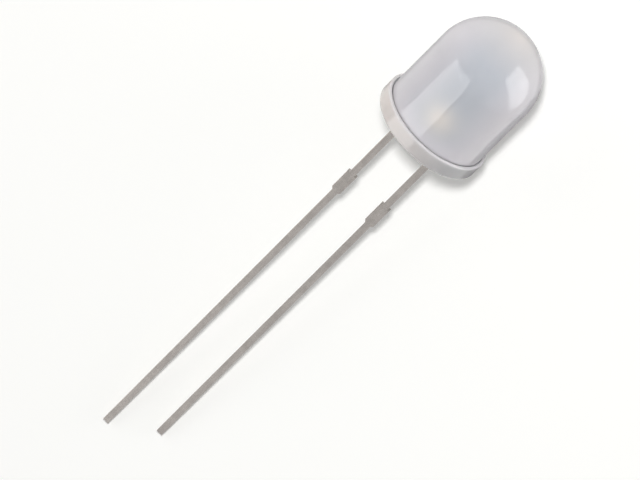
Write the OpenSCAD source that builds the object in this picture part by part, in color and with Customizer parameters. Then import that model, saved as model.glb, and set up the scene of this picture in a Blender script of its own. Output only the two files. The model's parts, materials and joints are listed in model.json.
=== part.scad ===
// Through hole light emitting diode with a milky lens and two square leads.
// Every piece is drawn on the lamp's own axis: z = 0 is the underside of the flange, the dome
// is at +z and the leads run to -z in the plane y = 0, the anode at +x and the cathode at -x.
// The finished lamp is then laid down as it comes to rest on a table, on the rim of its flange
// and the tips of both leads, with the origin below the middle of its box.

/* [Lens] */
// Diameter of the barrel and of the dome that closes it
body_d = 8; // [7.6:0.1:8.3]
// Diameter of the flange at the foot of the barrel
flange_d = 8.6; // [8.5:0.1:9.4]
// Thickness of the flange
flange_h = 1.25; // [1:0.05:1.6]
// Straight length of the barrel between the flange and the dome
barrel_h = 5.15; // [4.2:0.05:6]
// Radius on the upper edge of the flange
flange_top_r = 0.12; // [0.06:0.02:0.16]
// Radius on the lower edge of the flange
flange_foot_r = 0.25; // [0.15:0.05:0.4]
// Height of the resin that wets each lead where it leaves the lens
collar_h = 0.2; // [0.12:0.02:0.3]
// How far that resin stands off a lead where it thins out
collar_lip = 0.04; // [0.02:0.01:0.08]

/* [Leads] */
// Side of the square section of both leads
lead_side = 0.5; // [0.4:0.05:0.6]
// Distance between the middles of the two leads
lead_pitch = 3.25; // [3:0.05:3.5]
// Length of the longer lead, the anode, below the lens
anode_length = 34.2; // [30:0.2:38]
// Length of the shorter lead, the cathode, below the lens
cathode_length = 31.8; // [26:0.2:34]

/* [Tie bar stubs] */
// Distance from the lens to the stub that is left of the tie bar
stub_drop = 6.4; // [4:0.1:9]
// Length of a stub along its lead
stub_length = 1.72; // [1:0.02:2.4]
// Width of a stub across its lead
stub_w = 0.82; // [0.7:0.02:1.2]
// Slant at the lower end of a stub
stub_slant = 0.18; // [0.1:0.02:0.3]

/* [Lead frame in the lens] */
// Height at which both leads widen
foot_z = 0.9; // [0.7:0.05:1.1]
// Height of the upright inner edge of the post's foot
post_foot_h = 0.4; // [0.2:0.05:0.6]
// Distance of the post's foot from the axis
post_foot_x = 0.35; // [0.2:0.05:0.6]
// Height of the knee where the post turns upright
post_knee_z = 2.3; // [2.1:0.05:2.5]
// Width of the post's head
post_head_w = 0.62; // [0.55:0.01:0.7]
// Height of the two bonding flats, on the post and on the anvil
flat_z = 3.2; // [3:0.05:3.3]
// Slit between the post and the anvil
slit = 0.45; // [0.3:0.05:0.55]
// Distance of the anvil's inner edge from the axis
anvil_inner = 0.45; // [0.35:0.05:0.48]
// Distance of the anvil's bonding flat from the axis, at its far end
anvil_outer = 1.3; // [1.15:0.05:1.35]
// Height at which the anvil leaves the line of its lead
anvil_shoulder_z = 1.8; // [1.6:0.05:2]
// Height at which the anvil turns upright again
anvil_neck_z = 2.4; // [2.2:0.05:2.6]

/* [Reflector cup] */
// Height of the cup's rim over the underside of the lens
cup_rim_z = 3.4; // [3.3:0.05:3.6]
// Height of the cup from its foot to its rim
cup_h = 0.6; // [0.5:0.05:0.7]
// Outer diameter of the cup at its rim
cup_rim_d = 1.24; // [1.2:0.02:1.4]
// Outer diameter of the cup at its foot
cup_foot_d = 1.04; // [1:0.02:1.16]
// Inner diameter of the cup at its mouth
cup_mouth_d = 1; // [0.9:0.02:1.1]
// Diameter of the cup's flat floor
cup_floor_d = 0.58; // [0.56:0.02:0.7]
// Depth of the cup from its rim to its floor
cup_depth = 0.36; // [0.3:0.02:0.42]

/* [Chip] */
// Side of the square chip
chip_side = 0.32; // [0.26:0.02:0.34]
// Thickness of the chip
chip_h = 0.1; // [0.08:0.01:0.12]
// Diameter of a contact on the chip
contact_d = 0.09; // [0.08:0.01:0.1]
// Thickness of a contact
contact_h = 0.006; // [0.004:0.002:0.01]
// Distance of a contact's middle from the middle of the chip
contact_x = 0.095; // [0.08:0.005:0.11]
// Thickness of the adhesive under the chip
glue_h = 0.02; // [0.01:0.005:0.03]
// How far the adhesive climbs the sides of the chip
glue_climb = 0.03; // [0.02:0.01:0.05]
// How far the adhesive spreads beyond the chip's corners at the floor
glue_spread = 0.035; // [0.02:0.005:0.04]

/* [Phosphor] */
// How far the phosphor stands proud of the cup's rim
phosphor_crown = 0.1; // [0.06:0.02:0.14]

/* [Bond wires] */
// Diameter of a bond wire
wire_d = 0.03; // [0.03:0.005:0.05]
// Diameter of the ball that joins a wire to its contact
ball_d = 0.08; // [0.06:0.01:0.09]
// Height of that ball
ball_h = 0.03; // [0.02:0.005:0.04]
// Height to which the anode's wire arches over its two ends
anode_arch_h = 0.55; // [0.48:0.01:0.65]
// Height to which the cathode's wire arches over its two ends
cathode_arch_h = 0.38; // [0.34:0.01:0.42]
// Diameter of the flattened end of a wire
stitch_d = 0.13; // [0.1:0.01:0.16]
// Thickness of the flattened end
stitch_h = 0.018; // [0.012:0.002:0.024]

/* [Hidden] */
$fn = 96;

// How far a cutting shape runs past the face that it cuts
past = 0.05;
// How far the anvil's plate reaches up into the foot of the cup
cup_root = 0.1;

body_r = body_d / 2;
flange_r = flange_d / 2;
dome_z = flange_h + barrel_h;
lead_x = lead_pitch / 2;
lead_outer = lead_x + lead_side / 2;
lead_inner = lead_x - lead_side / 2;

cup_foot_z = cup_rim_z - cup_h;
cup_floor_z = cup_rim_z - cup_depth;
cup_flare = (cup_mouth_d - cup_floor_d) / 2 / cup_depth;
chip_z = cup_floor_z + glue_h;
contact_z = chip_z + chip_h;
ball_z = contact_z + contact_h;

// The post's slanted edge runs from its knee down to its foot
post_knee = [lead_outer - post_head_w, post_knee_z];
post_foot = [post_foot_x, foot_z + post_foot_h];
post_head_x = lead_outer - post_head_w / 2;
anvil_flat_x = (cup_rim_d / 2 + anvil_outer) / 2;

// The anvil's slanted edge runs beside the post's, one slit away
slant = (post_knee - post_foot) / norm(post_knee - post_foot);
slit_edge = post_knee + slit * [-slant[1], slant[0]];
function slit_z(x) = slit_edge[1] + (x - slit_edge[0]) * slant[1] / slant[0];
function slit_x(z) = slit_edge[0] + (z - slit_edge[1]) * slant[0] / slant[1];

// The lamp lies on the rim of its flange and on both tips. The tips' difference in length for
// each unit of their pitch rolls it about its axis, and rest_slope solves the tangent plane
// through the tips that touches a circle of radius r at height z.
tip_step = (anode_length - cathode_length) / lead_pitch;
tip_reach = anode_length - tip_step * lead_inner;
function rest_slope(r, z) =
    let (
        a = pow(tip_reach + z, 2) - pow(r * tip_step, 2),
        b = (tip_reach + z) * lead_side,
        c = pow(lead_side / 2, 2) - r * r
    ) (sqrt(b * b - 4 * a * c) - b) / (2 * a);
function tilt_of(slope) = atan(slope / sqrt(1 + pow(tip_step * slope, 2)));

sharp_tilt = tilt_of(rest_slope(flange_r, 0));
touch_r = flange_r - flange_foot_r * (1 - cos(sharp_tilt));
touch_z = flange_foot_r * (1 - sin(sharp_tilt));
floor_slope = rest_slope(touch_r, touch_z);
rest_tilt = tilt_of(floor_slope);
rest_roll = atan(tip_step * floor_slope);
rest_lift = (flange_r - flange_foot_r) * cos(rest_tilt) + flange_foot_r * (1 - sin(rest_tilt));
dome_end = dome_z * cos(rest_tilt) + body_r;
tip_rise = lead_outer * sin(rest_roll) + lead_side / 2 * cos(rest_roll);
tip_end = -anode_length * cos(rest_tilt) - tip_rise * sin(rest_tilt);

module at_rest() {
    translate([-(dome_end + tip_end) / 2, 0, rest_lift])
        rotate([0, -rest_tilt, 0])
        rotate([90, 0, 90])
        rotate([0, 0, rest_roll])
        children();
}

// A flat outline of x and z becomes a stamping as thick as a lead
module stamped() {
    rotate([90, 0, 0])
        linear_extrude(height = lead_side, center = true)
        children();
}

// Half section of the lens: a flange with rounded edges, the barrel and the dome
module lens_profile() {
    foot = flange_r - flange_foot_r;
    top = flange_r - flange_top_r;
    translate([0, flange_foot_r])
        square([flange_r, flange_h - flange_foot_r - flange_top_r]);
    square([foot, flange_foot_r]);
    translate([foot, flange_foot_r])
        intersection() {
            circle(flange_foot_r);
            translate([0, -flange_foot_r])
                square(flange_foot_r);
        }
    translate([0, flange_h - flange_top_r])
        square([top, flange_top_r]);
    translate([top, flange_h - flange_top_r])
        intersection() {
            circle(flange_top_r);
            square(flange_top_r);
        }
    translate([0, flange_h])
        square([body_r, barrel_h]);
    translate([0, dome_z])
        intersection() {
            circle(body_r);
            square(body_r);
        }
}

// Resin drawn down a lead by its own surface tension, with a hollow flank
module collar() {
    tip_r = lead_side / 2 + collar_lip;
    mirror([0, 0, 1])
        translate([0, 0, -past])
        rotate_extrude()
        union() {
            square([tip_r + collar_h, past]);
            translate([0, past])
                difference() {
                    square([tip_r + collar_h, collar_h]);
                    translate([tip_r + collar_h, collar_h])
                        circle(collar_h);
                }
        }
}

module lens() {
    color([0.84, 0.84, 0.85])
        difference() {
            union() {
                rotate_extrude()
                    lens_profile();
                for (side = [-1, 1])
                    translate([side * lead_x, 0, 0])
                    collar();
            }
            anode_lead();
            cathode_lead();
            phosphor_body();
            anode_wire();
            cathode_wire();
        }
}

// What the shears left of the bar that held the leads together before they were cut apart
module stub_outline() {
    top = -stub_drop;
    low = top - stub_length;
    translate([lead_x, 0])
        polygon([
            [-stub_w / 2, top],
            [-stub_w / 2, low],
            [-lead_side / 2, low - stub_slant],
            [lead_side / 2, low - stub_slant],
            [stub_w / 2, low],
            [stub_w / 2, top]
        ]);
}

module anode_lead() {
    color([0.63, 0.61, 0.58])
        stamped() {
            polygon([
                [lead_outer, -anode_length],
                [lead_outer, flat_z],
                [post_knee[0], flat_z],
                post_knee,
                post_foot,
                [post_foot_x, foot_z],
                [lead_inner, foot_z],
                [lead_inner, -anode_length]
            ]);
            stub_outline();
        }
}

// The cathode is drawn with its lead at +x and mirrored, so the post's edge lies at -x here
module anvil_outline() {
    polygon([
        [lead_outer, -cathode_length],
        [lead_outer, anvil_shoulder_z],
        [anvil_outer, anvil_neck_z],
        [anvil_outer, flat_z],
        [0, flat_z],
        [0, cup_foot_z + cup_root],
        [-anvil_inner, cup_foot_z + cup_root],
        [-anvil_inner, slit_z(anvil_inner)],
        [-slit_x(foot_z), foot_z],
        [lead_inner, foot_z],
        [lead_inner, -cathode_length]
    ]);
}

module cathode_lead() {
    color([0.63, 0.61, 0.58])
        difference() {
            union() {
                mirror([1, 0, 0])
                    stamped() {
                        anvil_outline();
                        stub_outline();
                    }
                translate([0, 0, cup_foot_z])
                    cylinder(h = cup_h, d1 = cup_foot_d, d2 = cup_rim_d);
            }
            cup_space(past);
        }
}

// The hollow of the reflector cup, carried on above the rim by extra
module cup_space(extra) {
    translate([0, 0, cup_floor_z])
        cylinder(
            h = cup_depth + extra,
            d1 = cup_floor_d,
            d2 = cup_mouth_d + 2 * extra * cup_flare
        );
}

module die_attach() {
    base_r = chip_side / sqrt(2) + glue_spread;
    color([0.75, 0.76, 0.78])
        difference() {
            translate([0, 0, cup_floor_z])
                cylinder(
                    h = glue_h + glue_climb,
                    r1 = base_r,
                    r2 = chip_side / sqrt(2)
                );
            chip_block();
        }
}

module chip_block() {
    translate([-chip_side / 2, -chip_side / 2, chip_z])
        cube([chip_side, chip_side, chip_h]);
}

module led_chip() {
    color([0.72, 0.8, 0.86]) {
        chip_block();
        for (side = [-1, 1])
            translate([side * contact_x, 0, contact_z])
            cylinder(h = contact_h, d = contact_d);
    }
}

// The whole of the resin that fills the cup, before the chip and the wires take their room
module phosphor_body() {
    cap_r = (pow(cup_mouth_d / 2, 2) + pow(phosphor_crown, 2)) / (2 * phosphor_crown);
    cup_space(0);
    intersection() {
        translate([0, 0, cup_rim_z + phosphor_crown - cap_r])
            sphere(r = cap_r);
        translate([0, 0, cup_rim_z])
            cylinder(h = 2 * phosphor_crown, d = cup_mouth_d);
    }
}

module phosphor() {
    color([0.95, 0.8, 0.25])
        difference() {
            phosphor_body();
            die_attach();
            led_chip();
            anode_wire();
            cathode_wire();
        }
}

// A wire that leaves the ball on a contact, arches over and ends pressed on a bonding flat
module bond_wire(target_x, arch_h) {
    start = [contact_x, ball_z + ball_h / 2];
    end = [target_x, flat_z + stitch_h / 2];
    half = (end - start) / 2;
    arch_r = (half * half + pow(arch_h, 2)) / (2 * arch_h);
    up = [-half[1], half[0]] / norm(half);
    hub = start + half - up * (arch_r - arch_h);
    end_angle = atan2(end[1] - hub[1], end[0] - hub[0]);
    start_angle = atan2(start[1] - hub[1], start[0] - hub[0]);
    color([0.9, 0.72, 0.3]) {
        translate([contact_x, 0, ball_z])
            cylinder(h = ball_h, d = ball_d);
        difference() {
            translate([hub[0], 0, hub[1]])
                rotate([90, 0, 0])
                rotate([0, 0, end_angle])
                rotate_extrude(angle = start_angle - end_angle)
                translate([arch_r, 0])
                circle(d = wire_d);
            translate([target_x - stitch_d, -stitch_d, flat_z - stitch_d])
                cube([2 * stitch_d, 2 * stitch_d, stitch_d]);
        }
        translate([target_x, 0, flat_z])
            cylinder(h = stitch_h, d = stitch_d);
    }
}

module anode_wire() {
    bond_wire(post_head_x, anode_arch_h);
}

module cathode_wire() {
    mirror([1, 0, 0])
        bond_wire(anvil_flat_x, cathode_arch_h);
}

at_rest() lens();
at_rest() anode_lead();
at_rest() cathode_lead();
at_rest() die_attach();
at_rest() led_chip();
at_rest() phosphor();
at_rest() anode_wire();
at_rest() cathode_wire();
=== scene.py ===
"""Dresses a through hole light emitting diode with a milky lens, lying on a pale table."""

import json
import logging
import math
from dataclasses import dataclass, field
from enum import Enum
from typing import Any

import bmesh
import bpy
from mathutils import Matrix, Vector


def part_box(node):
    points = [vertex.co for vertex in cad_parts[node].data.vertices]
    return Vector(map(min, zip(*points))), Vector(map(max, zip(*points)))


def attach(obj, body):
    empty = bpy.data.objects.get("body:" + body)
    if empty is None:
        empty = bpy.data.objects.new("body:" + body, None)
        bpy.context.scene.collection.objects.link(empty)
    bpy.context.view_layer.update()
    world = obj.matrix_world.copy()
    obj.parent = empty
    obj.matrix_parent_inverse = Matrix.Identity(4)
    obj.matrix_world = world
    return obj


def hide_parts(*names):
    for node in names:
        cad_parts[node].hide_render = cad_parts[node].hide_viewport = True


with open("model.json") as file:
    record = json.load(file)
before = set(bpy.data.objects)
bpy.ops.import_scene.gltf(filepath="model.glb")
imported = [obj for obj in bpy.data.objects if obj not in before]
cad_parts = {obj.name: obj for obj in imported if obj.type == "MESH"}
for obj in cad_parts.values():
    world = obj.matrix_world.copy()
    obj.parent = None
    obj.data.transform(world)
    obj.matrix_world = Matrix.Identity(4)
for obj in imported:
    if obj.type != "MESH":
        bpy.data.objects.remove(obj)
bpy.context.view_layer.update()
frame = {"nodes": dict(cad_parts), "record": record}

LOG = logging.getLogger("through_hole_led")
MM = 0.001
MIX_FIRST, MIX_SECOND, MIX_RESULT = 6, 7, 2
Colour = tuple[float, float, float, float]
Triple = tuple[float, float, float]
Span = tuple[float, float]


class Slot(Enum):
    """The record's material slots."""

    LENS = "lens"
    LEADS = "leads"
    DIE_ATTACH = "die_attach"
    CHIP = "chip"
    PHOSPHOR = "phosphor"
    BOND_WIRES = "bond_wires"


class Course(Enum):
    """How a stretch of a revolved outline gets from its start to its end."""

    STRAIGHT = "straight"
    ACROSS_FIRST = "quarter round that leaves sideways"
    UP_FIRST = "quarter round that leaves upwards"


@dataclass(frozen=True)
class LampAxes:
    """The lamp's own frame: the origin under its flange, and its three axes in the row frame."""

    origin: Vector
    anode: Vector
    upper: Vector
    dome: Vector

    @classmethod
    def from_record(cls, record: dict[str, Any]) -> "LampAxes":
        """Works the lamp's frame out from the places of its mounts.

        Args:
            record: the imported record.

        Returns:
            The lamp's frame.
        """
        mounts = {mount["name"]: mount for mount in record["mounts"]}
        origin = Vector(mounts["base"]["pos_m"])
        dome = Vector(mounts["barrel"]["axis"]).normalized()
        shoulder = Vector(mounts["flange_shoulder"]["pos_m"]) - origin
        upper = (shoulder - dome * shoulder.dot(dome)).normalized()
        return cls(origin, upper.cross(dome), upper, dome)

    def turn(self) -> Matrix:
        """Returns the rotation from the lamp's frame to the row frame."""
        return Matrix((self.anode, self.upper, self.dome)).transposed()

    def placement(self) -> Matrix:
        """Returns the transform from the lamp's frame in millimetres to the row frame."""
        return Matrix.Translation(self.origin) @ self.turn().to_4x4() @ Matrix.Scale(MM, 4)


@dataclass(frozen=True)
class Cloud:
    """A cloudy pattern: how often it varies in a millimetre, and in how many finer layers."""

    scale: float
    detail: float


@dataclass
class Graph:
    """A node tree that is written line by line."""

    tree: bpy.types.NodeTree

    def node(self, kind: str, **settings: Any) -> bpy.types.Node:
        """Adds a node.

        Args:
            kind: Blender's name for the node.
            settings: the node's own properties.

        Returns:
            The new node.
        """
        node = self.tree.nodes.new(kind)
        for name, value in settings.items():
            setattr(node, name, value)
        return node

    def feed(self, socket: bpy.types.NodeSocket, value: Any) -> None:
        """Links a socket to another one, or sets its own value.

        Args:
            socket: the input.
            value: an output socket or a plain value.
        """
        if isinstance(value, bpy.types.NodeSocket):
            self.tree.links.new(value, socket)
        else:
            socket.default_value = value

    def fill(self, node: bpy.types.Node, **inputs: Any) -> bpy.types.Node:
        """Feeds several inputs of a node, each named with underscores for spaces.

        Args:
            node: the node.
            inputs: the value of each input.

        Returns:
            The same node.
        """
        for name, value in inputs.items():
            self.feed(node.inputs[name.replace("_", " ")], value)
        return node

    def math(self, operation: str, first: Any, second: Any = 0.0) -> bpy.types.NodeSocket:
        """Does one calculation.

        Args:
            operation: Blender's name for it.
            first: the first value.
            second: the second value, where the calculation has one.

        Returns:
            The socket that holds the result.
        """
        node = self.node("ShaderNodeMath", operation=operation)
        self.feed(node.inputs[0], first)
        self.feed(node.inputs[1], second)
        return node.outputs[0]

    def total(self, first: Any, second: Any) -> bpy.types.NodeSocket:
        """Returns the sum of two values."""
        return self.math("ADD", first, second)

    def less(self, first: Any, second: Any) -> bpy.types.NodeSocket:
        """Returns the first value without the second."""
        return self.math("SUBTRACT", first, second)

    def times(self, first: Any, second: Any) -> bpy.types.NodeSocket:
        """Returns the product of two values."""
        return self.math("MULTIPLY", first, second)

    def square(self, value: Any) -> bpy.types.NodeSocket:
        """Returns a value times itself."""
        return self.math("POWER", value, 2.0)

    def distance(self, across: Any, up: Any) -> bpy.types.NodeSocket:
        """Returns the length of the slant whose two sides are given."""
        return self.math("SQRT", self.total(self.square(across), self.square(up)))

    def ramp(self, value: Any, start: Any, end: Any, smooth: bool = False) -> bpy.types.NodeSocket:
        """Turns a value into a share that rises from 0 to 1 and stops there.

        Args:
            value: the value.
            start: where the share is 0.
            end: where the share is 1, above or below the start.
            smooth: whether the share eases in and out.

        Returns:
            The socket that holds the share.
        """
        kind = "SMOOTHSTEP" if smooth else "LINEAR"
        node = self.node("ShaderNodeMapRange", interpolation_type=kind, clamp=True)
        self.feed(node.inputs["Value"], value)
        self.feed(node.inputs["From Min"], start)
        self.feed(node.inputs["From Max"], end)
        return node.outputs["Result"]

    def blend(self, factor: Any, first: Any, second: Any) -> bpy.types.NodeSocket:
        """Mixes two colours.

        Args:
            factor: the second colour's share.
            first: the first colour.
            second: the second colour.

        Returns:
            The socket that holds the colour between them.
        """
        node = self.node("ShaderNodeMix", data_type="RGBA")
        self.feed(node.inputs["Factor"], factor)
        self.feed(node.inputs[MIX_FIRST], first)
        self.feed(node.inputs[MIX_SECOND], second)
        return node.outputs[MIX_RESULT]

    def noise(self, place: Any, cloud: Cloud) -> bpy.types.NodeSocket:
        """Makes a cloudy pattern.

        Args:
            place: where on the object a point is.
            cloud: how coarse and how fine the pattern is.

        Returns:
            The socket that holds a value about 0.5.
        """
        node = self.node("ShaderNodeTexNoise")
        self.fill(node, Vector=place, Scale=cloud.scale, Detail=cloud.detail)
        return node.outputs[0]

    def cells(self, place: Any, scale: float) -> bpy.types.NodeSocket:
        """Makes a pattern of grains.

        Args:
            place: where on the object a point is.
            scale: the grains in a millimetre.

        Returns:
            The socket that holds how far a point is from its grain's middle.
        """
        node = self.node("ShaderNodeTexVoronoi")
        self.fill(node, Vector=place, Scale=scale)
        return node.outputs["Distance"]

    def lamp_place(self, axes: LampAxes, stretch: Triple = (1.0, 1.0, 1.0)) -> Any:
        """Returns the place on the object in the lamp's own frame, in millimetres.

        Args:
            axes: the lamp's frame.
            stretch: a factor for each of the lamp's axes.

        Returns:
            The socket that holds the place.
        """
        place = self.node("ShaderNodeTexCoord").outputs["Object"]
        turn = axes.turn().transposed()
        shift = -(turn @ axes.origin) / MM
        mapping = self.node("ShaderNodeMapping", vector_type="POINT")
        size = (1 / MM,) * 3
        self.fill(mapping, Vector=place, Scale=size, Rotation=turn.to_euler(), Location=shift)
        scale = self.node("ShaderNodeVectorMath", operation="MULTIPLY")
        self.feed(scale.inputs[0], mapping.outputs[0])
        self.feed(scale.inputs[1], stretch)
        return scale.outputs[0]

    def split(self, place: Any) -> bpy.types.NodeOutputs:
        """Takes a vector apart.

        Args:
            place: the vector.

        Returns:
            The sockets that hold its three parts.
        """
        node = self.node("ShaderNodeSeparateXYZ")
        self.feed(node.inputs[0], place)
        return node.outputs


@dataclass(frozen=True)
class Finish:
    """What every finish has: its name, its relief and how it is turned into a material.

    Lengths are in millimetres. A span gives where a pattern's share is 0 and where it is 1.
    """

    name: str

    def material(self, axes: LampAxes) -> bpy.types.Material:
        """Builds the finish.

        Args:
            axes: the lamp's frame, which the patterns follow.

        Returns:
            The material.
        """
        material = bpy.data.materials.new(self.name)
        material.use_nodes = True
        graph = Graph(material.node_tree)
        shader = material.node_tree.nodes["Principled BSDF"]
        self.dress(graph, shader, axes)
        return material

    def dress(self, graph: Graph, shader: bpy.types.Node, axes: LampAxes) -> None:
        """Sets the shader up. Each finish has its own way."""
        raise NotImplementedError

    @staticmethod
    def roughen(graph: Graph, shader: bpy.types.Node, height: Any, depth: float) -> None:
        """Gives the surface a fine relief.

        Args:
            graph: the material's nodes.
            shader: the surface.
            height: the relief, about 0 to 1.
            depth: the relief's depth in millimetres.
        """
        bump = graph.node("ShaderNodeBump")
        graph.fill(bump, Strength=1.0, Distance=depth * MM, Height=height)
        graph.feed(shader.inputs["Normal"], bump.outputs[0])


@dataclass(frozen=True)
class MilkyResin(Finish):
    """Cast resin with a fine white filler: light spreads in it, and its skin is glossy."""

    name: str = "milky_resin"
    # Painted shade in the barrel's dim, cool middle, and painted light on its paler sides and
    # foot.
    shaded_middle: Colour = (0.495, 0.515, 0.555, 1)
    side: Colour = (0.67, 0.645, 0.675, 1)
    # Painted light: the dome's top, paler and warmer.
    lit_dome_top: Colour = (0.76, 0.69, 0.65, 1)
    # Painted light on the flange's anode side, and painted shade on its cathode side.
    rim: Colour = (0.71, 0.655, 0.625, 1)
    shaded_flange: Colour = (0.45, 0.445, 0.452, 1)
    # Painted glow over the cup, with the phosphor's own yellow seen through the resin.
    glow: Colour = (0.78, 0.72, 0.66, 1)
    shaded: Colour = (0.36, 0.36, 0.37, 1)
    flange_top: float = 1.25
    flange_over: float = 0.15
    flange_under: float = 0.25
    barrel_radius: float = 4.0
    shaded_middle_half: float = 0.6
    side_margin: float = 0.4
    foot_reach: float = 2.0
    lit_foot_share: float = 0.75
    dome_foot: float = 6.4
    dome_rise: float = 1.0
    dome_margin: float = 0.6
    dome_light_share: float = 0.68
    turn_span: Span = (4.0, -2.6)
    turn_waver: float = 0.8
    groove: float = 0.08
    groove_blur: float = 0.02
    groove_lip: float = 0.03
    cup_height: float = 3.5
    glow_reach: float = 1.2
    glow_share: float = 0.7
    cloud: Cloud = Cloud(0.35, 3.0)
    cloud_span: Span = (0.35, 0.65)
    cloud_share: float = 0.12
    spread: float = 1.0
    gloss: float = 0.09
    gloss_range: float = 0.05
    grain: Cloud = Cloud(6.0, 4.0)
    waves: Cloud = Cloud(0.8, 1.0)
    wave_depth: float = 0.004
    index: float = 1.53

    def dress(self, graph: Graph, shader: bpy.types.Node, axes: LampAxes) -> None:
        """Colours the resin with painted shade in its middle and painted light towards its sides,
        dome and flange, and gives it its glossy skin.

        Args:
            graph: the material's nodes.
            shader: the surface.
            axes: the lamp's frame.
        """
        place = graph.lamp_place(axes)
        x, y, z = graph.split(place)
        off = graph.distance(x, y)
        cloud = graph.ramp(graph.noise(place, self.cloud), *self.cloud_span)
        # Painted shade in the barrel's middle, painted light on its sides and foot.
        body = self.painted_barrel_shade(graph, x, z, cloud)
        # Painted light on the dome's top.
        body = graph.blend(self.painted_dome_light(graph, off, z), body, self.lit_dome_top)
        over, under = self.flange_top + self.flange_over, self.flange_top - self.flange_under
        flange = graph.ramp(z, over, under, smooth=True)
        # Painted light and shade on the flange: lit on the anode's side, shaded on the cathode's.
        body = graph.blend(flange, body, self.painted_flange_light(graph, x, cloud))
        # Painted glow over the cup.
        body = graph.blend(self.over_cup(graph, x, z), body, self.glow)
        body = graph.blend(self.in_groove(graph, off, z), body, self.shaded)
        grain = graph.times(graph.noise(place, self.grain), self.gloss_range)
        gloss = graph.total(grain, self.gloss - self.gloss_range / 2)
        graph.fill(shader, Base_Color=body, Roughness=gloss, IOR=self.index)
        graph.fill(shader, Subsurface_Weight=1.0, Subsurface_Scale=self.spread * MM)
        graph.fill(shader, Subsurface_Radius=(1.0, 1.0, 1.0))
        self.roughen(graph, shader, graph.noise(place, self.waves), self.wave_depth)

    def painted_barrel_shade(self, graph: Graph, x: Any, z: Any, cloud: Any) -> bpy.types.NodeSocket:
        """Paints shade into the barrel's middle, cool and dim, where the lead frame inside would
        shade it, and paints light on the sides and on the foot by the flange, which come out
        paler.

        Args:
            graph: the material's nodes.
            x: the place across the lamp.
            z: the height along the lamp.
            cloud: the resin's cloudiness.

        Returns:
            The socket that holds the barrel's colour.
        """
        edge = self.barrel_radius - self.side_margin
        lit_side_share = graph.ramp(graph.math("ABSOLUTE", x), self.shaded_middle_half, edge, smooth=True)
        clear = graph.total(graph.times(cloud, self.cloud_share), 1.0 - self.cloud_share)
        body = graph.blend(graph.times(lit_side_share, clear), self.shaded_middle, self.side)
        # Painted light: the barrel turns paler towards the flange.
        foot = graph.ramp(z, self.flange_top + self.foot_reach, self.flange_top, smooth=True)
        return graph.blend(graph.times(foot, self.lit_foot_share), body, self.side)

    def painted_flange_light(self, graph: Graph, x: Any, cloud: Any) -> bpy.types.NodeSocket:
        """Paints the flange lit and warm on the anode's side and shaded and cool on the cathode's.

        Args:
            graph: the material's nodes.
            x: the place across the lamp.
            cloud: the resin's cloudiness.

        Returns:
            The socket that holds the flange's colour.
        """
        wavering = graph.total(x, graph.times(cloud, self.turn_waver))
        return graph.blend(graph.ramp(wavering, *self.turn_span), self.rim, self.shaded_flange)

    def painted_dome_light(self, graph: Graph, off: Any, z: Any) -> bpy.types.NodeSocket:
        """Finds the dome's top, which is painted paler and warmer as if lit.

        Args:
            graph: the material's nodes.
            off: the distance from the lamp's axis.
            z: the height along the lamp.

        Returns:
            The socket that holds that tone's share.
        """
        inwards = graph.ramp(off, self.barrel_radius - self.dome_margin, 0.0)
        upwards = graph.ramp(z, self.dome_foot, self.dome_foot + self.dome_rise)
        return graph.times(graph.times(inwards, upwards), self.dome_light_share)

    def over_cup(self, graph: Graph, x: Any, z: Any) -> bpy.types.NodeSocket:
        """Finds the faint warm spot over the cup: the phosphor's own yellow seen through the
        resin, painted lighter as a glow.

        Args:
            graph: the material's nodes.
            x: the place across the lamp.
            z: the height along the lamp.

        Returns:
            The socket that holds the spot's share.
        """
        off_x = graph.square(graph.math("DIVIDE", x, self.glow_reach))
        rise = graph.less(z, self.cup_height)
        off_z = graph.square(graph.math("DIVIDE", rise, self.glow_reach))
        near = graph.math("EXPONENT", graph.times(graph.total(off_x, off_z), -1.0))
        return graph.times(near, self.glow_share)

    def in_groove(self, graph: Graph, off: Any, z: Any) -> bpy.types.NodeSocket:
        """Finds the narrow groove at the barrel's foot, where little light gets in.

        Args:
            graph: the material's nodes.
            off: the distance from the lamp's axis.
            z: the height along the lamp.

        Returns:
            The socket that is 1 in the groove.
        """
        outer, top = self.barrel_radius + self.groove, self.flange_top
        inside = graph.ramp(off, outer + self.groove_blur, outer)
        above = graph.ramp(z, top - 3 * self.groove, top - 2 * self.groove)
        below = graph.ramp(z, top, top - self.groove_lip)
        return graph.times(graph.times(inside, above), below)


@dataclass(frozen=True)
class TinnedMetal(Finish):
    """Stamped metal with a dull tin coat, drawn and dipped along the leads."""

    name: str = "tinned_metal"
    bright: Colour = (0.358, 0.333, 0.312, 1)
    dull: Colour = (0.318, 0.295, 0.277, 1)
    drawn: Triple = (5.0, 5.0, 0.5)
    streak: Cloud = Cloud(1.0, 3.0)
    mottle: Cloud = Cloud(2.2, 4.0)
    worn_span: Span = (0.38, 0.62)
    gloss: float = 0.08
    gloss_range: float = 0.06
    pits: Cloud = Cloud(9.0, 3.0)
    pit_depth: float = 0.0003

    def dress(self, graph: Graph, shader: bpy.types.Node, axes: LampAxes) -> None:
        """Mottles the coat, and streaks it along the leads.

        Args:
            graph: the material's nodes.
            shader: the surface.
            axes: the lamp's frame.
        """
        place = graph.lamp_place(axes)
        streaks = graph.noise(graph.lamp_place(axes, self.drawn), self.streak)
        mottle = graph.noise(place, self.mottle)
        both = graph.total(graph.times(streaks, 0.5), graph.times(mottle, 0.5))
        coat = graph.blend(graph.ramp(both, *self.worn_span), self.dull, self.bright)
        gloss = graph.total(graph.times(mottle, self.gloss_range), self.gloss)
        graph.fill(shader, Base_Color=coat, Metallic=1.0, Roughness=gloss)
        self.roughen(graph, shader, graph.noise(place, self.pits), self.pit_depth)


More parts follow.
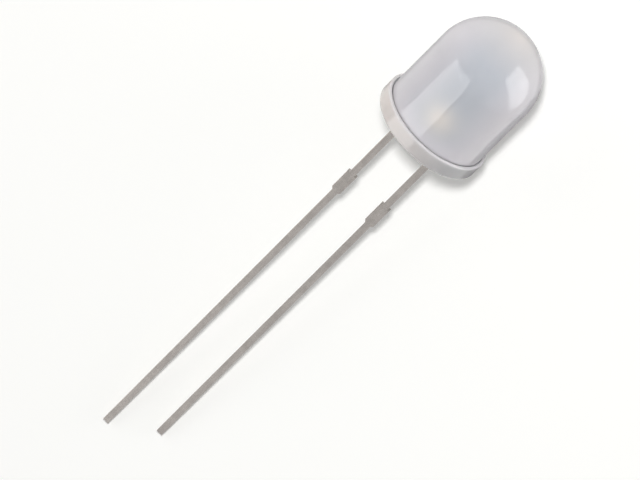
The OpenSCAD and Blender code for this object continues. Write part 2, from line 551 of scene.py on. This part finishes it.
@dataclass(frozen=True)
class SilverAdhesive(Finish):
    """Adhesive filled with silver flakes."""

    name: str = "silver_adhesive"
    flake: Colour = (0.72, 0.73, 0.75, 1)
    binder: Colour = (0.45, 0.45, 0.46, 1)
    flakes_per_mm: float = 40.0
    flake_span: Span = (0.6, 0.2)
    shine_share: float = 0.8
    gloss: float = 0.45
    flake_depth: float = 0.004

    def dress(self, graph: Graph, shader: bpy.types.Node, axes: LampAxes) -> None:
        """Scatters flakes through the binder.

        Args:
            graph: the material's nodes.
            shader: the surface.
            axes: the lamp's frame.
        """
        flakes = graph.cells(graph.lamp_place(axes), self.flakes_per_mm)
        shine = graph.ramp(flakes, *self.flake_span)
        graph.fill(shader, Base_Color=graph.blend(shine, self.binder, self.flake))
        graph.fill(shader, Metallic=graph.times(shine, self.shine_share), Roughness=self.gloss)
        self.roughen(graph, shader, flakes, self.flake_depth)


@dataclass(frozen=True)
class ChipCrystal(Finish):
    """A clear crystal under a thin bluish active layer, with metal contacts on its top."""

    name: str = "chip_crystal"
    crystal: Colour = (0.72, 0.80, 0.86, 1)
    haze: Colour = (0.62, 0.72, 0.82, 1)
    contact: Colour = (0.95, 0.80, 0.45, 1)
    top_height: float = 3.16
    layer: float = 0.004
    mist: Cloud = Cloud(30.0, 2.0)
    mist_span: Span = (0.3, 0.7)
    gloss: float = 0.04
    gloss_range: float = 0.06
    clearness: float = 0.6
    index: float = 1.77

    def dress(self, graph: Graph, shader: bpy.types.Node, axes: LampAxes) -> None:
        """Tells the contacts from the crystal by their height.

        Args:
            graph: the material's nodes.
            shader: the surface.
            axes: the lamp's frame.
        """
        place = graph.lamp_place(axes)
        height = graph.split(place)[2]
        metal = graph.ramp(height, self.top_height, self.top_height + self.layer)
        mist = graph.ramp(graph.noise(place, self.mist), *self.mist_span)
        body = graph.blend(mist, self.crystal, self.haze)
        graph.fill(shader, Base_Color=graph.blend(metal, body, self.contact), Metallic=metal)
        gloss = graph.total(graph.times(mist, self.gloss_range), self.gloss)
        graph.fill(shader, Roughness=gloss, IOR=self.index)
        graph.fill(shader, Transmission_Weight=graph.less(self.clearness, metal))


@dataclass(frozen=True)
class PhosphorResin(Finish):
    """Yellow phosphor grains in clear resin."""

    name: str = "phosphor_resin"
    grain: Colour = (0.95, 0.72, 0.10, 1)
    resin: Colour = (0.90, 0.80, 0.38, 1)
    grains_per_mm: float = 28.0
    grain_span: Span = (0.55, 0.15)
    gloss: float = 0.3
    milkiness: float = 0.4
    spread: float = 0.08
    skin: Cloud = Cloud(18.0, 2.0)
    skin_depth: float = 0.002

    def dress(self, graph: Graph, shader: bpy.types.Node, axes: LampAxes) -> None:
        """Packs grains of phosphor under a smooth skin.

        Args:
            graph: the material's nodes.
            shader: the surface.
            axes: the lamp's frame.
        """
        place = graph.lamp_place(axes)
        dense = graph.ramp(graph.cells(place, self.grains_per_mm), *self.grain_span)
        body = graph.blend(dense, self.resin, self.grain)
        graph.fill(shader, Base_Color=body, Roughness=self.gloss)
        graph.fill(shader, Subsurface_Weight=self.milkiness, Subsurface_Scale=self.spread * MM)
        self.roughen(graph, shader, graph.noise(place, self.skin), self.skin_depth)


@dataclass(frozen=True)
class GoldWire(Finish):
    """Drawn gold wire."""

    name: str = "gold_wire"
    bright: Colour = (0.95, 0.73, 0.32, 1)
    worn: Colour = (0.82, 0.60, 0.24, 1)
    wear: Cloud = Cloud(25.0, 2.0)
    wear_span: Span = (0.35, 0.65)
    gloss: float = 0.24
    gloss_range: float = -0.08

    def dress(self, graph: Graph, shader: bpy.types.Node, axes: LampAxes) -> None:
        """Varies the wire's tone where it was pressed and drawn.

        Args:
            graph: the material's nodes.
            shader: the surface.
            axes: the lamp's frame.
        """
        tone = graph.ramp(graph.noise(graph.lamp_place(axes), self.wear), *self.wear_span)
        gloss = graph.total(graph.times(tone, self.gloss_range), self.gloss)
        graph.fill(shader, Base_Color=graph.blend(tone, self.worn, self.bright))
        graph.fill(shader, Metallic=1.0, Roughness=gloss)


@dataclass(frozen=True)
class ProfileStep:
    """One stretch of a revolved outline, as far as it goes across and up."""

    rows: int
    course: Course
    across: Any = 0.0
    up: Any = 0.0


@dataclass
class RevolvedForm:
    """A closed form that a geometry tree turns about the lamp's axis, stretch by stretch."""

    graph: Graph
    start_height: Any
    steps: list[ProfileStep]
    segments: Any
    weld: float = 1e-4

    def mesh(self) -> bpy.types.NodeSocket:
        """Builds the form's nodes.

        Returns:
            The socket that holds the closed mesh.
        """
        graph = self.graph
        rows = sum(step.rows for step in self.steps)
        grid = graph.node("GeometryNodeMeshGrid")
        graph.fill(grid, Size_X=1.0, Size_Y=1.0, Vertices_Y=rows + 1)
        graph.fill(grid, Vertices_X=graph.total(self.segments, 1.0))
        across, along, _ = graph.split(graph.node("GeometryNodeInputPosition").outputs[0])
        angle = graph.times(across, 2 * math.pi)
        row = graph.times(graph.total(along, 0.5), float(rows))
        radius, height = self.outline(row)
        place = graph.node("ShaderNodeCombineXYZ")
        graph.feed(place.inputs[0], graph.times(radius, graph.math("COSINE", angle)))
        graph.feed(place.inputs[1], graph.times(radius, graph.math("SINE", angle)))
        graph.feed(place.inputs[2], height)
        turned = graph.node("GeometryNodeSetPosition")
        graph.fill(turned, Geometry=grid.outputs["Mesh"], Position=place.outputs[0])
        closed = graph.node("GeometryNodeMergeByDistance")
        graph.fill(closed, Geometry=turned.outputs[0], Distance=self.weld)
        return closed.outputs[0]

    def outline(self, row: Any) -> tuple[Any, Any]:
        """Adds the stretches up along the outline.

        Args:
            row: how far along the outline a point is, in rows.

        Returns:
            The point's distance from the axis, and its height.
        """
        graph = self.graph
        radius, height, first = 0.0, self.start_height, 0
        for step in self.steps:
            share = graph.ramp(row, float(first), float(first + step.rows))
            first += step.rows
            sideways, upwards = share, share
            if step.course is not Course.STRAIGHT:
                turn = graph.times(share, math.pi / 2)
                early = graph.math("SINE", turn)
                late = graph.less(1.0, graph.math("COSINE", turn))
                across_first = step.course is Course.ACROSS_FIRST
                sideways, upwards = (early, late) if across_first else (late, early)
            radius = graph.total(radius, graph.times(sideways, step.across))
            height = graph.total(height, graph.times(upwards, step.up))
        return radius, height


@dataclass
class ShapeTree:
    """A geometry tree with named inputs that makes one piece."""

    name: str
    sizes: dict[str, float]
    graph: Graph = field(init=False)
    inputs: bpy.types.NodeOutputs = field(init=False)

    def __post_init__(self) -> None:
        """Makes the tree, with one input for each size and one for the finish."""
        tree = bpy.data.node_groups.new(self.name, "GeometryNodeTree")
        add = tree.interface.new_socket
        for name in self.sizes:
            add(name=name, in_out="INPUT", socket_type="NodeSocketFloat")
        add(name="Finish", in_out="INPUT", socket_type="NodeSocketMaterial")
        add(name="Geometry", in_out="OUTPUT", socket_type="NodeSocketGeometry")
        self.graph = Graph(tree)
        self.inputs = self.graph.node("NodeGroupInput").outputs

    def size(self, name: str) -> bpy.types.NodeSocket:
        """Returns the socket of a named size."""
        return self.inputs[name]

    def end(self, geometry: bpy.types.NodeSocket) -> None:
        """Ends the tree with real geometry in its finish.

        Args:
            geometry: the finished shape.
        """
        graph = self.graph
        smooth = graph.node("GeometryNodeSetShadeSmooth")
        graph.fill(smooth, Geometry=geometry)
        real = graph.node("GeometryNodeRealizeInstances")
        graph.fill(real, Geometry=smooth.outputs[0])
        dressed = graph.node("GeometryNodeSetMaterial")
        graph.fill(dressed, Geometry=real.outputs[0], Material=self.inputs["Finish"])
        out = graph.node("NodeGroupOutput")
        graph.feed(out.inputs[0], dressed.outputs[0])

    def bake(self, name: str, finish: bpy.types.Material) -> bpy.types.Object:
        """Runs the tree and keeps its result as a plain mesh.

        Args:
            name: the new piece's name.
            finish: the piece's material.

        Returns:
            The piece, in the tree's own units.
        """
        tree = self.graph.tree
        carrier = bpy.data.objects.new(name + "_tree", bpy.data.meshes.new(name + "_tree"))
        bpy.context.scene.collection.objects.link(carrier)
        modifier = carrier.modifiers.new(self.name, "NODES")
        modifier.node_group = tree
        values = {"Finish": finish, **self.sizes}
        for item in tree.interface.items_tree:
            if item.in_out == "INPUT":
                modifier[item.identifier] = values[item.name]
        evaluated = carrier.evaluated_get(bpy.context.evaluated_depsgraph_get())
        mesh = bpy.data.meshes.new_from_object(evaluated)
        mesh.name = name
        mesh.materials.clear()
        mesh.materials.append(finish)
        bpy.data.objects.remove(carrier)
        piece = bpy.data.objects.new(name, mesh)
        bpy.context.scene.collection.objects.link(piece)
        return piece


def settle(piece: bpy.types.Object, large_face_weight: int = 100) -> None:
    """Turns a piece's modifiers into its plain mesh, with normals that keep flat faces flat.

    Args:
        piece: the piece, whose mesh is shaded smooth.
        large_face_weight: how much more a large face counts than a small one, 50 being even.
    """
    flatten = piece.modifiers.new("flat faces", "WEIGHTED_NORMAL")
    flatten.weight = large_face_weight
    flatten.keep_sharp = True
    evaluated = piece.evaluated_get(bpy.context.evaluated_depsgraph_get())
    piece.data = bpy.data.meshes.new_from_object(evaluated)
    piece.modifiers.clear()


@dataclass
class CastLens:
    """The cast resin body: flange, barrel and dome, with the resin that wets the leads.

    Lengths are in millimetres. The inset keeps the body inside its packed box.
    """

    axes: LampAxes
    barrel_radius: float
    barrel_height: float
    flange_radius: float
    flange_height: float
    lead_pitch: float = 3.25
    lead_side: float = 0.5
    upper_edge: float = 0.12
    lower_edge: float = 0.25
    groove: float = 0.08
    collar_height: float = 0.2
    collar_lip: float = 0.04
    collar_zone: float = 0.6
    inset: float = 0.006
    underside_depth: float = 1e-3
    segments: int = 256
    sharp_angle: float = math.radians(35)

    @classmethod
    def from_frame(cls, axes: LampAxes, record: dict[str, Any]) -> "CastLens":
        """Takes the lens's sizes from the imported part, a hair less, to stay inside its box.

        Args:
            axes: the lamp's frame.
            record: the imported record.

        Returns:
            The lens, in millimetres.
        """
        mounts = {mount["name"]: mount for mount in record["mounts"]}
        dims = mounts["barrel"]["dims"]
        low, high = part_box("lens")
        shoulder = Vector(mounts["flange_shoulder"]["pos_m"]) - axes.origin
        return cls(
            axes=axes,
            barrel_radius=dims["r_mm"] - cls.inset,
            barrel_height=dims["length_mm"],
            flange_radius=(high.y - low.y) / 2 / MM - cls.inset,
            flange_height=shoulder.dot(axes.dome) / MM,
        )

    def skin(self, shape: ShapeTree) -> bpy.types.NodeSocket:
        """Builds the outer skin, from the middle of the underside to the top of the dome.

        Args:
            shape: the lens's tree.

        Returns:
            The closed skin.
        """
        graph, size = shape.graph, shape.size
        straight, lower = Course.STRAIGHT, size("Lower edge")
        foot = graph.less(size("Flange radius"), lower)
        rounds = graph.total(lower, size("Upper edge"))
        side = graph.less(size("Flange height"), rounds)
        ledge = graph.less(size("Flange radius"), size("Barrel radius"))
        ledge = graph.less(ledge, graph.total(size("Upper edge"), size("Groove")))
        barrel = graph.total(size("Barrel height"), size("Groove"))
        down = graph.times(size("Groove"), -1.0)
        inwards = graph.times(size("Upper edge"), -1.0)
        to_axis = graph.times(size("Barrel radius"), -1.0)
        inner = graph.less(graph.times(size("Lead pitch"), 0.5), size("Collar zone"))
        zone = graph.times(size("Collar zone"), 2.0)
        outer = graph.less(foot, graph.total(inner, zone))
        steps = [
            ProfileStep(rows=4, course=straight, across=inner),
            ProfileStep(rows=40, course=straight, across=zone),
            ProfileStep(rows=6, course=straight, across=outer),
            ProfileStep(rows=10, course=Course.ACROSS_FIRST, across=lower, up=lower),
            ProfileStep(rows=6, course=straight, up=side),
            ProfileStep(rows=8, course=Course.UP_FIRST, across=inwards, up=size("Upper edge")),
            ProfileStep(rows=3, course=straight, across=graph.times(ledge, -1.0)),
            ProfileStep(rows=2, course=straight, up=down),
            ProfileStep(rows=2, course=straight, across=down),
            ProfileStep(rows=30, course=straight, up=barrel),
            ProfileStep(rows=48, course=Course.UP_FIRST, across=to_axis, up=size("Barrel radius")),
        ]
        return RevolvedForm(graph, 0.0, steps, size("Segments")).mesh()

    def draw_down(self, shape: ShapeTree, skin: bpy.types.NodeSocket) -> bpy.types.NodeSocket:
        """Draws the flat underside down to a small collar where the resin wets each lead.

        Args:
            shape: the lens's tree.
            skin: the closed skin.

        Returns:
            The skin with its collars.
        """
        graph, size = shape.graph, shape.size
        x, y, z = graph.split(graph.node("GeometryNodeInputPosition").outputs[0])
        from_lead = graph.less(graph.math("ABSOLUTE", x), graph.times(size("Lead pitch"), 0.5))
        off = graph.distance(from_lead, y)
        tip = graph.total(graph.times(size("Lead side"), 0.5), size("Collar lip"))
        wet = graph.ramp(off, graph.total(tip, size("Collar height")), tip)
        drop = graph.less(1.0, graph.math("SQRT", graph.less(1.0, graph.square(wet))))
        under = graph.math("LESS_THAN", z, self.underside_depth)
        drop = graph.times(graph.times(drop, under), size("Collar height"))
        offset = graph.node("ShaderNodeCombineXYZ")
        graph.feed(offset.inputs[2], graph.times(drop, -1.0))
        drawn = graph.node("GeometryNodeSetPosition")
        graph.fill(drawn, Geometry=skin, Offset=offset.outputs[0])
        return drawn.outputs[0]

    def build(self, finish: bpy.types.Material) -> bpy.types.Object:
        """Makes the lens.

        Args:
            finish: the resin.

        Returns:
            The lens, in the row frame.
        """
        shape = ShapeTree("Cast lens", {
            "Barrel radius": self.barrel_radius,
            "Barrel height": self.barrel_height,
            "Flange radius": self.flange_radius,
            "Flange height": self.flange_height,
            "Upper edge": self.upper_edge,
            "Lower edge": self.lower_edge,
            "Groove": self.groove,
            "Lead pitch": self.lead_pitch,
            "Lead side": self.lead_side,
            "Collar height": self.collar_height,
            "Collar lip": self.collar_lip,
            "Collar zone": self.collar_zone,
            "Segments": float(self.segments),
        })
        shape.end(self.draw_down(shape, self.skin(shape)))
        piece = shape.bake("lens_body", finish)
        piece.data.set_sharp_from_angle(angle=self.sharp_angle)
        settle(piece)
        piece.data.transform(self.axes.placement())
        return piece


@dataclass
class StampedLead:
    """A lead, as packed, with the edges of the stamping eased. Lengths are in millimetres."""

    node: str
    ease: float = 0.025
    ease_segments: int = 2
    edge_angle: float = math.radians(50)
    weld: float = 0.0005
    flat_angle: float = math.radians(1.0)

    def build(self, finish: bpy.types.Material) -> bpy.types.Object:
        """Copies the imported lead, makes it one clean mesh and rounds its edges.

        Args:
            finish: the tinned metal.

        Returns:
            The lead, in the row frame.
        """
        mesh = frame["nodes"][self.node].data.copy()
        mesh.transform(Matrix.Scale(1 / MM, 4))
        shell = bmesh.new()
        shell.from_mesh(mesh)
        bmesh.ops.remove_doubles(shell, verts=shell.verts, dist=self.weld)
        bmesh.ops.dissolve_limit(
            shell, angle_limit=self.flat_angle, verts=shell.verts, edges=shell.edges
        )
        shell.to_mesh(mesh)
        shell.free()
        mesh.materials.clear()
        mesh.materials.append(finish)
        piece = bpy.data.objects.new(self.node + "_tinned", mesh)
        bpy.context.scene.collection.objects.link(piece)
        bevel = piece.modifiers.new("eased edges", "BEVEL")
        bevel.width = self.ease
        bevel.segments = self.ease_segments
        bevel.limit_method = "ANGLE"
        bevel.angle_limit = self.edge_angle
        mesh.shade_smooth()
        settle(piece)
        piece.data.transform(Matrix.Scale(MM, 4))
        return piece


@dataclass(frozen=True)
class ProductCamera:
    """The picture's view of the lamp, from far off, with the dome to the upper right.

    The base pixel is where the middle of the flange's underside lies, and the distance is in
    metres.
    """

    axes: LampAxes
    lift: float = math.radians(28.5)
    roll: float = math.radians(45)
    pixels_per_mm: float = 14.46
    picture: tuple[int, int] = (640, 480)
    base_pixel: tuple[float, float] = (426.95, 132.15)
    distance: float = 1.0
    sensor: float = 36.0

    def towards(self) -> Vector:
        """Returns the direction from the lamp to the camera."""
        return self.axes.upper * math.cos(self.lift) + self.axes.dome * math.sin(self.lift)

    def along(self) -> Vector:
        """Returns the lamp's own axis as the camera sees it."""
        return self.axes.dome * math.cos(self.lift) - self.axes.upper * math.sin(self.lift)

    def aside(self) -> Vector:
        """Returns the direction across the lamp, to the cathode's side."""
        return -self.axes.anode

    def seen(self, aside: float, along: float, near: float) -> Vector:
        """Returns a direction given by its parts across the lamp, along it and to the camera."""
        return (self.aside() * aside + self.along() * along + self.towards() * near).normalized()

    def place(self) -> bpy.types.Object:
        """Adds the camera.

        Returns:
            The camera, made the scene's own.
        """
        right = self.along() * math.cos(self.roll) + self.aside() * math.sin(self.roll)
        up = self.along() * math.sin(self.roll) - self.aside() * math.cos(self.roll)
        width, height = self.picture
        off_right = (self.base_pixel[0] - width / 2) / self.pixels_per_mm * MM
        off_up = (height / 2 - self.base_pixel[1]) / self.pixels_per_mm * MM
        target = self.axes.origin - right * off_right - up * off_up
        data = bpy.data.cameras.new("product_camera")
        data.sensor_width = self.sensor
        data.lens = self.sensor * self.distance / (width / self.pixels_per_mm * MM)
        camera = bpy.data.objects.new("product_camera", data)
        turn = Matrix((right, up, self.towards())).transposed().to_4x4()
        camera.matrix_world = Matrix.Translation(target + self.towards() * self.distance) @ turn
        bpy.context.scene.collection.objects.link(camera)
        bpy.context.scene.camera = camera
        return camera


@dataclass(frozen=True)
class Softbox:
    """A soft lamp at the studio's side, aimed at the lens.

    Its place is a direction from the lens as the camera sees it, and its distance, width and
    height are in metres. It lights surfaces, is mirrored in them, or both.
    """

    name: str
    aside: float
    along: float
    near: float
    width: float
    height: float
    strength: float
    distance: float = 0.4
    spin: float = 0.0
    lights: bool = False
    mirrored: bool = True
    beam: float = math.pi
    aim_mm: float = 5.0

    def place(self, view: ProductCamera) -> bpy.types.Object:
        """Adds the lamp.

        Args:
            view: the camera, whose directions place the lamp.

        Returns:
            The lamp.
        """
        away = view.seen(self.aside, self.along, self.near)
        rise = (view.axes.dome - away * view.axes.dome.dot(away)).normalized()
        data = bpy.data.lights.new(self.name, "AREA")
        data.shape = "RECTANGLE"
        data.size, data.size_y = self.width, self.height
        data.energy = self.strength * math.pi * self.width * self.height
        data.spread = self.beam
        lamp = bpy.data.objects.new(self.name, data)
        turn = Matrix((rise.cross(away), rise, away)).transposed().to_4x4()
        turn = turn @ Matrix.Rotation(self.spin, 4, "Z")
        middle = view.axes.origin + view.axes.dome * self.aim_mm * MM
        lamp.matrix_world = Matrix.Translation(middle + away * self.distance) @ turn
        lamp.visible_camera = False
        lamp.visible_diffuse = self.lights
        lamp.visible_glossy = self.mirrored
        bpy.context.scene.collection.objects.link(lamp)
        return lamp


@dataclass(frozen=True)
class Studio:
    """The pale table, the even light of the room and the soft lamps.

    Lengths are in metres. The edge card and the outline card lie on the table for reflections
    alone, where they paint shade; they lie at heights of their own, so that they never share a
    plane.
    """

    half_size: float = 1.5
    table: Colour = (0.86, 0.86, 0.842, 1)
    table_glow: Colour = (1.0, 1.0, 0.98, 1)
    table_lift: float = 0.165
    mirror_lift: float = 0.4
    room: float = 0.298
    lamps: tuple[Softbox, ...] = (
        Softbox(
            "left_softbox", aside=-0.506, along=-0.762, near=0.404,
            width=0.41, height=0.38, strength=2.3,
        ),
        Softbox(
            "right_card", aside=0.84, along=0.39, near=0.33,
            width=0.012, height=0.0195, strength=1.5, distance=0.0165,
            spin=math.radians(28), beam=math.radians(125),
        ),
        Softbox(
            "left_fill", aside=-0.9, along=-0.2, near=0.4,
            width=0.3, height=0.3, strength=0.65, lights=True, mirrored=False,
        ),
        Softbox(
            "dome_fill", aside=0.62, along=0.68, near=0.36,
            width=0.25, height=0.25, strength=2.4, lights=True, mirrored=False,
        ),
        Softbox(
            "overhead_lamp", aside=-0.092, along=0.035, near=1.0,
            width=0.05, height=0.05, strength=217.0, distance=0.5, lights=True, mirrored=False,
        ),
    )
    # Dark cards seen only in reflections: painted shade in the lens's reflections of the table.
    edge_card_low: Triple = (0.009, -0.0095, 0.0002)
    edge_card_high: Triple = (0.0195, -0.0036, 0.0002)
    edge_shade_tone: Colour = (0.29, 0.29, 0.29, 1)
    rim_middle: Triple = (0.0161, 0.0004, 0.0001)
    rim_start: float = 0.0095
    rim_inner: float = 0.0034
    rim_outer: float = 0.0085
    rim_steps: int = 24
    outline_shade_tone: Colour = (0.62, 0.62, 0.62, 1)

    @staticmethod
    def seen_plainly(graph: Graph) -> bpy.types.NodeSocket:
        """Tells the rays that show a surface from those that only carry its light.

        Args:
            graph: the nodes of the table or the room.

        Returns:
            The socket that is 1 where a surface is seen, mirrored or seen through the part.
        """
        path = graph.node("ShaderNodeLightPath").outputs
        seen = graph.math("MAXIMUM", path["Is Camera Ray"], path["Is Glossy Ray"])
        return graph.math("MAXIMUM", seen, path["Is Transmission Ray"])

    def table_finish(self) -> bpy.types.Material:
        """Makes the table's finish, which keeps the lamp's shadow.

        Returns:
            The material.
        """
        material = bpy.data.materials.new("pale_table")
        material.use_nodes = True
        graph = Graph(material.node_tree)
        shader = material.node_tree.nodes["Principled BSDF"]
        graph.fill(shader, Base_Color=self.table, Roughness=1.0, Specular_IOR_Level=0.0)
        lift = graph.times(self.seen_plainly(graph), self.table_lift)
        mirrored = graph.node("ShaderNodeLightPath").outputs["Is Glossy Ray"]
        extra = graph.times(mirrored, self.mirror_lift - self.table_lift)
        lift = graph.total(lift, extra)
        graph.fill(shader, Emission_Color=self.table_glow, Emission_Strength=lift)
        return material

    def place_card(
        self, name: str, tone: Colour, points: list[Triple], faces: list[tuple[int, int, int, int]]
    ) -> None:
        """Lays a card on the table that is seen in reflections only, where it paints a darker
        reflection.

        Args:
            name: the card's name.
            tone: its colour.
            points: its corners.
            faces: the corners of each of its faces.
        """
        mesh = bpy.data.meshes.new(name)
        mesh.from_pydata(points, [], faces)
        material = bpy.data.materials.new(name)
        material.use_nodes = True
        shader = material.node_tree.nodes["Principled BSDF"]
        Graph(material.node_tree).fill(shader, Base_Color=tone, Roughness=1.0)
        mesh.materials.append(material)
        card = bpy.data.objects.new(name, mesh)
        bpy.context.scene.collection.objects.link(card)
        card.visible_camera = card.visible_diffuse = False
        card.visible_shadow = card.visible_transmission = False

    def place_shade_cards(self) -> None:
        """Lays two dark cards that paint shade into the reflections: darkly along the barrel's
        right side, and a little round the whole outline of the lens.
        """
        low, high = self.edge_card_low, self.edge_card_high
        corners = [low, (high[0], low[1], low[2]), high, (low[0], high[1], low[2])]
        self.place_card("edge_flag", self.edge_shade_tone, corners, [(0, 1, 2, 3)])
        middle_x, middle_y, height = self.rim_middle
        points = []
        for offset in (self.rim_inner, self.rim_outer):
            points.append((self.rim_start, middle_y + offset, height))
            for step in range(self.rim_steps + 1):
                angle = math.pi * (0.5 - step / self.rim_steps)
                across, up = offset * math.cos(angle), offset * math.sin(angle)
                points.append((middle_x + across, middle_y + up, height))
            points.append((self.rim_start, middle_y - offset, height))
        count = len(points) // 2
        faces = [(i, i + 1, count + i + 1, count + i) for i in range(count - 1)]
        self.place_card("rim_flag", self.outline_shade_tone, points, faces)

    def build(self, view: ProductCamera) -> None:
        """Adds the table, the room and the lamps.

        Args:
            view: the camera, whose directions place the lamps.
        """
        mesh = bpy.data.meshes.new("table")
        half = self.half_size
        corners = [(-half, -half, 0), (half, -half, 0), (half, half, 0), (-half, half, 0)]
        mesh.from_pydata(corners, [], [(0, 1, 2, 3)])
        mesh.materials.append(self.table_finish())
        table = bpy.data.objects.new("table", mesh)
        bpy.context.scene.collection.objects.link(table)
        self.place_shade_cards()
        world = bpy.data.worlds.new("room")
        bpy.context.scene.world = world
        world.use_nodes = True
        graph = Graph(world.node_tree)
        background = world.node_tree.nodes["Background"]
        rest = graph.times(self.seen_plainly(graph), 1.0 - self.room)
        graph.fill(background, Color=(1, 1, 1, 1), Strength=graph.total(rest, self.room))
        for lamp in self.lamps:
            lamp.place(view)
            LOG.info("lamp %s placed", lamp.name)


@dataclass
class ThroughHoleLed:
    """The whole lamp: its cast body, its stamped leads and what the body holds."""

    axes: LampAxes

    def dress_node(self, node: str, slot: Slot, finish: bpy.types.Material) -> None:
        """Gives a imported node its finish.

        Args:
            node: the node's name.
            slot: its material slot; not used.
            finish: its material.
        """
        piece = frame["nodes"][node]
        piece.data.materials.clear()
        piece.data.materials.append(finish)
        LOG.info("node %s dressed in %s", node, finish.name)

    def stand_in(self, piece: bpy.types.Object, node: str, slot: Slot) -> None:
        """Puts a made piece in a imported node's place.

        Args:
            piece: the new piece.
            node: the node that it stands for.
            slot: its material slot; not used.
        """
        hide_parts(node)
        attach(piece, "root")
        LOG.info("piece %s: %d faces", piece.name, len(piece.data.polygons))

    def build(self) -> None:
        """Makes and dresses every piece."""
        lens = CastLens.from_frame(self.axes, frame["record"])
        self.stand_in(lens.build(MilkyResin().material(self.axes)), "lens", Slot.LENS)
        tin = TinnedMetal().material(self.axes)
        for node in ("anode_lead", "cathode_lead"):
            self.stand_in(StampedLead(node).build(tin), node, Slot.LEADS)
        gold = GoldWire().material(self.axes)
        for node in ("anode_wire", "cathode_wire"):
            self.dress_node(node, Slot.BOND_WIRES, gold)
        self.dress_node("die_attach", Slot.DIE_ATTACH, SilverAdhesive().material(self.axes))
        self.dress_node("led_chip", Slot.CHIP, ChipCrystal().material(self.axes))
        self.dress_node("phosphor", Slot.PHOSPHOR, PhosphorResin().material(self.axes))


def main() -> None:
    """Builds the lamp, the studio and the camera."""
    logging.basicConfig(level=logging.INFO, format="%(name)s: %(message)s")
    axes = LampAxes.from_record(frame["record"])
    ThroughHoleLed(axes).build()
    view = ProductCamera(axes)
    view.place()
    Studio().build(view)
    bpy.context.scene.view_settings.view_transform = "Standard"


if __name__ == "__main__":
    main()
